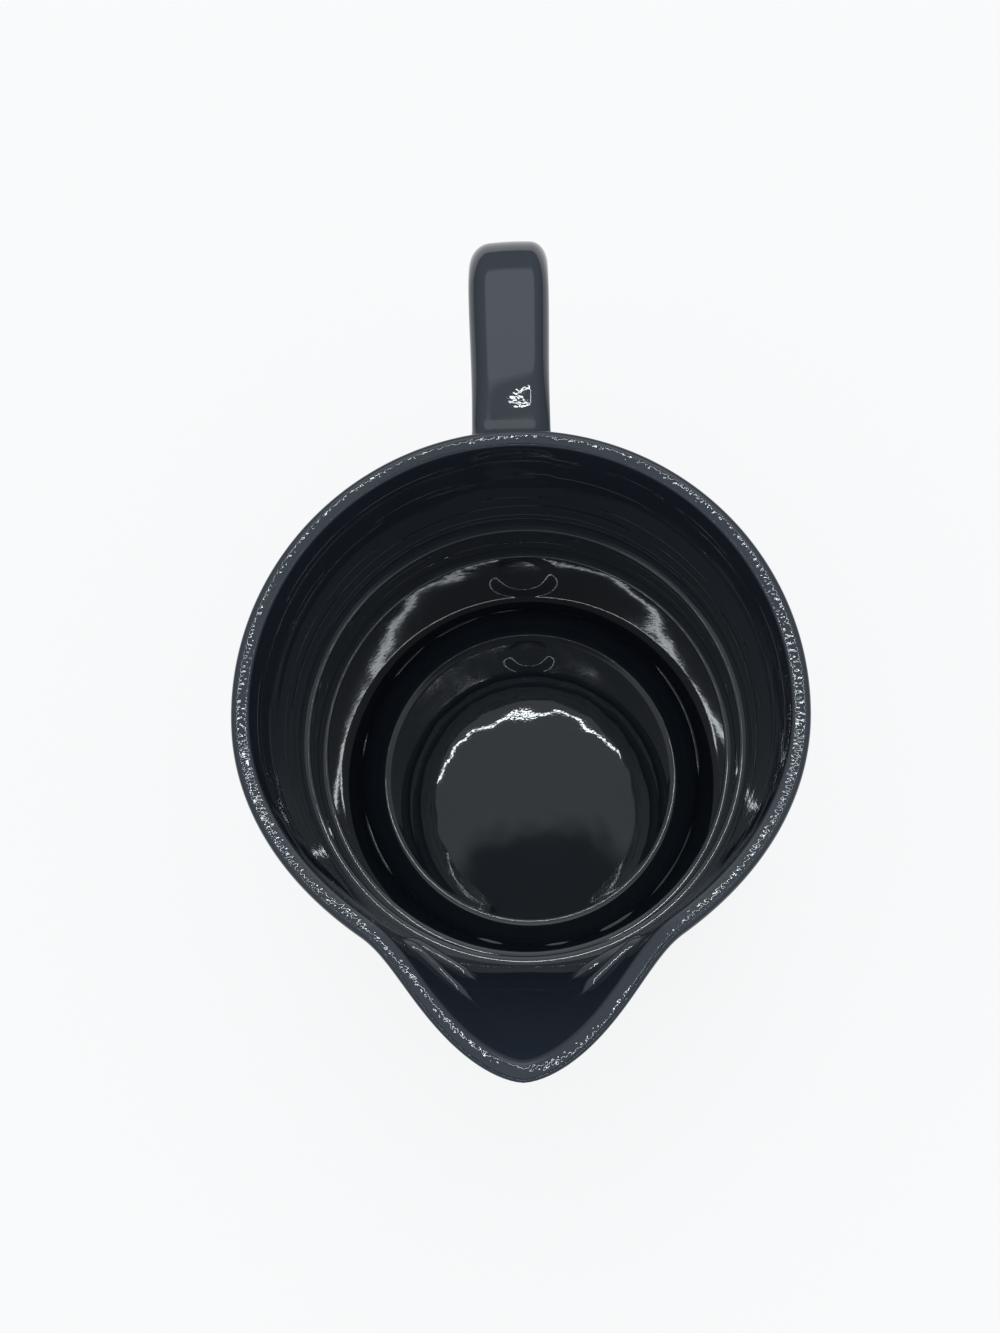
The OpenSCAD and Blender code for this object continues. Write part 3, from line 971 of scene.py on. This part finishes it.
class JUG_OT_handle(bpy.types.Operator):
    """Add the strap handle"""

    bl_idname = "jug.handle"
    bl_label = "Handle"
    bl_options = {"REGISTER", "UNDO"}

    def execute(self, context):
        scene = context.scene
        sizes = scene.jug_handle
        wall = scene.jug_wall
        root, upper, lower, tail = strap_points(sizes, wall)
        bm = bmesh.new()
        face = self.section(bm, sizes, root)
        upper_turn = self.turn(root, upper, lower, sizes.upper_corner)
        lower_turn = self.turn(upper, lower, tail, sizes.lower_corner)
        face = self.run(bm, face, upper_turn[1] - root)
        face = self.bend(bm, face, upper_turn)
        face = self.run(bm, face, lower_turn[1] - upper_turn[2])
        face = self.bend(bm, face, lower_turn)
        self.run(bm, face, tail - lower_turn[2])
        self.shape(bm, sizes, wall, root, upper, (tail - lower).normalized())
        finish = scene.jug_finish
        material = glaze_material("strap_glaze", finish, finish.swell, finish.strap_peel)
        add_piece("glazed_handle", bm, material, "handle")
        return {"FINISHED"}

    def section(self, bm, sizes, root):
        """Rounded outline of the strap, upright at the upper joint."""
        bmesh.ops.create_grid(bm, x_segments=1, y_segments=1, size=0.5)
        bmesh.ops.scale(bm, verts=bm.verts, vec=(sizes.strap_width, sizes.thickness, 1))
        bmesh.ops.bevel(
            bm,
            geom=bm.verts[:],
            offset=sizes.edge,
            offset_type="OFFSET",
            affect="VERTICES",
            segments=STRAP_EDGE_STEPS,
            profile=0.5,
            material=-1,
        )
        broad = [e for e in bm.edges if e.calc_length() > sizes.edge]
        bmesh.ops.subdivide_edges(bm, edges=broad, cuts=STRAP_FACE_CUTS)
        bmesh.ops.dissolve_faces(bm, faces=bm.faces[:])
        upright = Matrix.Rotation(math.radians(90), 4, "X")
        stand = Matrix.Translation((0, root.x, root.y)) @ upright
        bmesh.ops.transform(bm, verts=bm.verts, matrix=stand)
        return bm.faces[:][0]

    def turn(self, before, corner, after, radius):
        """Middle, start, end and angle of the rounding of a corner."""
        back = (before - corner).normalized()
        on = (after - corner).normalized()
        half = back.angle(on) / 2
        middle = corner + (back + on).normalized() * radius / math.sin(half)
        reach = radius / math.tan(half)
        return middle, corner + back * reach, corner + on * reach, math.pi - 2 * half

    def run(self, bm, face, shift):
        """Extrudes the strap straight on."""
        step = Vector((0, shift.x, shift.y)) / STRAP_RUN_STEPS
        for _ in range(STRAP_RUN_STEPS):
            made = bmesh.ops.extrude_face_region(bm, geom=[face])["geom"]
            face = next(g for g in made if isinstance(g, bmesh.types.BMFace))
            bmesh.ops.translate(bm, verts=list(face.verts), vec=step)
        return face

    def bend(self, bm, face, turn):
        """Spins the strap round a corner."""
        middle, _, _, swept = turn
        made = bmesh.ops.spin(
            bm,
            geom=[face],
            cent=(0, middle.x, middle.y),
            axis=(-1, 0, 0),
            angle=swept,
            steps=STRAP_TURN_STEPS,
        )["geom_last"]
        return next(g for g in made if isinstance(g, bmesh.types.BMFace))

    def shape(self, bm, sizes, wall, root, upper, tail_way):
        """Widens and arches the grip, slims the right side, fits the ends and hollows the root."""
        start = wall.body_radius + sizes.bead_run + sizes.thickness / 2
        full = upper.x - sizes.upper_corner
        end = wall.body_radius + STRAP_END * sizes.bead_run
        for vert in bm.verts:
            share = ease((vert.co.y - start) / (full - start))
            vert.co.x *= 1 + share * (sizes.grip_width / sizes.strap_width - 1)
            vert.co.y -= sizes.arch * share * (2 * vert.co.x / sizes.grip_width) ** 2
            vert.co.x = slimmed(sizes, vert.co.x)
            face_y = math.sqrt(wall.body_radius**2 - vert.co.x**2) - sizes.sink
            if vert.co.y < end:
                at_root = vert.co.z > root.y - sizes.span / 2
                way = Vector((0, -1, 0)) if at_root else Vector((0, *tail_way))
                close = abs(vert.co.y - wall.body_radius) < sizes.thickness / 4
                if vert.co.y < face_y or close:
                    vert.co += way * ((face_y - vert.co.y) / way.y)
            vert.co.z -= root_hollow(sizes, wall, vert.co)


class JUG_OT_joint_beads(bpy.types.Operator):
    """Add the beads of clay round both joints of the strap"""

    bl_idname = "jug.joint_beads"
    bl_label = "Joint Beads"
    bl_options = {"REGISTER", "UNDO"}

    def execute(self, context):
        scene = context.scene
        sizes = scene.jug_handle
        wall = scene.jug_wall
        root, _, lower, tail = strap_points(sizes, wall)
        material = glaze_material("bead_glaze", scene.jug_finish, scene.jug_finish.swell)
        joints = {"upper": (root, Vector((1, 0))), "lower": (tail, (lower - tail).normalized())}
        for name, (foot, outward) in joints.items():
            bm = lofted(self.rings(sizes, wall.body_radius, foot, outward))
            for vert in bm.verts:
                vert.co.z -= root_hollow(sizes, wall, vert.co)
            add_piece(f"glazed_{name}_bead", bm, material, f"{name}_joint_bead")
        return {"FINISHED"}

    def rings(self, sizes, radius, foot, outward):
        """Rings of the bead: under its foot, over its hollow curve and into the strap."""
        run, width, sink = sizes.bead_run, sizes.bead_width, sizes.sink
        steps = [(-sink, -sink), (-sink, width)]
        for i in range(BEAD_STEPS + 1):
            a = math.radians(90) * i / BEAD_STEPS
            steps.append((run * (1 - math.cos(a)), width * (1 - math.sin(a))))
        steps.append((run, -sink))
        return [self.ring(sizes, radius, foot, outward, lift, margin) for lift, margin in steps]

    def ring(self, sizes, radius, foot, outward, lift, margin):
        """The strap's outline, slid along the strap to a height over the wall."""
        places = []
        for p in strap_outline(sizes, margin):
            y = foot.x - outward.y * p.y
            z = foot.y + outward.x * p.y
            x = slimmed(sizes, p.x)
            slide = (math.sqrt(radius**2 - x**2) + lift - y) / outward.x
            places.append(Vector((x, y + slide * outward.x, z + slide * outward.y)))
        return places


class JUG_OT_stage(bpy.types.Operator):
    """Add the floor, the light and the camera"""

    bl_idname = "jug.stage"
    bl_label = "Studio"
    bl_options = {"REGISTER", "UNDO"}

    def execute(self, context):
        scene = context.scene
        stage = scene.jug_stage
        self.add_floor(scene, stage)
        self.add_sky(scene, stage)
        self.add_round_lamp(scene, stage)
        self.add_camera(scene, stage)
        scene.view_settings.view_transform = "Standard"
        return {"FINISHED"}

    def add_floor(self, scene, stage):
        """A plain floor, wide enough to reach the horizon."""
        bm = bmesh.new()
        bmesh.ops.create_grid(bm, x_segments=1, y_segments=1, size=FLOOR_HALF_SIDE)
        mesh = bpy.data.meshes.new("studio_floor")
        bm.to_mesh(mesh)
        bm.free()
        mesh.materials.append(floor_material("pale_floor", stage))
        floor = bpy.data.objects.new("studio_floor", mesh)
        scene.collection.objects.link(floor)

    def add_sky(self, scene, stage):
        """Light that is weaker towards the horizon, with a soft window and a soft shade."""
        scene.world = bpy.data.worlds.new("studio_sky")
        scene.world.use_nodes = True
        scene.world.node_tree.nodes.clear()
        start = Shade(scene.world.node_tree)
        way = start.node("ShaderNodeTexCoord", {}, {}, "Generated")
        up = start.node("ShaderNodeSeparateXYZ", {}, {"Vector": way}, "Z")
        levels = {"Value": up, "To Min": stage.horizon_level, "To Max": stage.zenith_level}
        window = (0, math.cos(stage.window_height), math.sin(stage.window_height))
        shade = (0, -math.sin(stage.shade_tilt), math.cos(stage.shade_tilt))
        dot = {"operation": "DOT_PRODUCT"}
        to_window, to_shade = [
            start.node("ShaderNodeVectorMath", dot, {0: way, 1: aim}, "Value")
            for aim in (window, shade)
        ]
        in_window = soft_range(to_window, *WINDOW_EDGES)
        in_shade = soft_range(to_shade, *[math.cos(math.radians(edge)) for edge in SHADE_EDGES])
        light = start.node("ShaderNodeMapRange", {}, levels) + stage.window_level * in_window
        strength = light * (1 - stage.shade_level * in_shade)
        sky = {"Color": rgba(stage.sky_colour), "Strength": strength}
        glow = start.node("ShaderNodeBackground", {}, sky)
        start.node("ShaderNodeOutputWorld", {}, {"Surface": glow})

    def add_round_lamp(self, scene, stage):
        """A round lamp made of short straight tubes that shine down; its level is its radiance."""
        tube = 2 * stage.ring_radius * math.tan(math.pi / ROUND_LAMP_TUBES)
        middle = Vector((*ROUND_LAMP_PLACE, stage.ceiling_height))
        for i in range(ROUND_LAMP_TUBES):
            turn = math.tau * i / ROUND_LAMP_TUBES
            out = Vector((math.sin(turn), -math.cos(turn), 0))
            light = bpy.data.lights.new(f"round_lamp_{i}", "AREA")
            light.shape = "RECTANGLE"
            light.size, light.size_y = tube, stage.ring_width
            light.energy = stage.ring_level * math.pi * tube * stage.ring_width
            light.color = stage.sky_colour
            lamp = bpy.data.objects.new(light.name, light)
            lamp.location = middle + stage.ring_radius * out
            lamp.rotation_euler = (0, 0, turn)
            lamp.visible_camera = False
            scene.collection.objects.link(lamp)

    def add_camera(self, scene, stage):
        """The camera, turned about the upright, tilted and panned."""
        lens = bpy.data.cameras.new("camera")
        lens.sensor_fit = "HORIZONTAL"
        lens.sensor_width = SENSOR_WIDTH
        lens.lens = stage.lens
        lens.clip_start = CLIP_START
        camera = bpy.data.objects.new("camera", lens)
        turned = (
            Matrix.Rotation(stage.camera_turn, 4, "Z")
            @ Matrix.Rotation(stage.camera_tilt, 4, "X")
            @ Matrix.Rotation(stage.camera_pan, 4, "Y")
        )
        camera.matrix_world = Matrix.Translation(stage.camera_place) @ turned
        scene.collection.objects.link(camera)
        scene.camera = camera


class JUG_PT_panel(bpy.types.Panel):
    """Lists the jug's operators and sizes"""

    bl_label = "Pouring Jug"
    bl_idname = "JUG_PT_panel"
    bl_space_type = "VIEW_3D"
    bl_region_type = "UI"
    bl_category = "Jug"

    def draw(self, context):
        layout = self.layout
        for operator in OPERATORS:
            layout.operator(operator.bl_idname)
        for group in GROUPS:
            box = layout.box()
            box.label(text=group)
            settings = getattr(context.scene, group)
            for name in settings.bl_rna.properties.keys():
                if name not in {"rna_type", "name"}:
                    box.prop(settings, name)


GROUPS = {
    "jug_wall": JugWallSizes,
    "jug_foot": JugFootSizes,
    "jug_handle": JugHandleSizes,
    "jug_finish": JugFinish,
    "jug_stage": JugStage,
}
OPERATORS = (
    JUG_OT_body,
    JUG_OT_spout_collar,
    JUG_OT_foot_ring,
    JUG_OT_handle,
    JUG_OT_joint_beads,
    JUG_OT_stage,
)


def register():
    for cls in (*GROUPS.values(), *OPERATORS, JUG_PT_panel):
        bpy.utils.register_class(cls)
    for name, group in GROUPS.items():
        setattr(bpy.types.Scene, name, PointerProperty(type=group))


def unregister():
    for name in GROUPS:
        delattr(bpy.types.Scene, name)
    for cls in (JUG_PT_panel, *reversed(OPERATORS), *reversed(list(GROUPS.values()))):
        bpy.utils.unregister_class(cls)


def main():
    register()
    bpy.ops.jug.body()
    bpy.ops.jug.spout_collar()
    bpy.ops.jug.foot_ring()
    bpy.ops.jug.handle()
    bpy.ops.jug.joint_beads()
    bpy.ops.jug.stage()


if __name__ == "__main__":
    main()
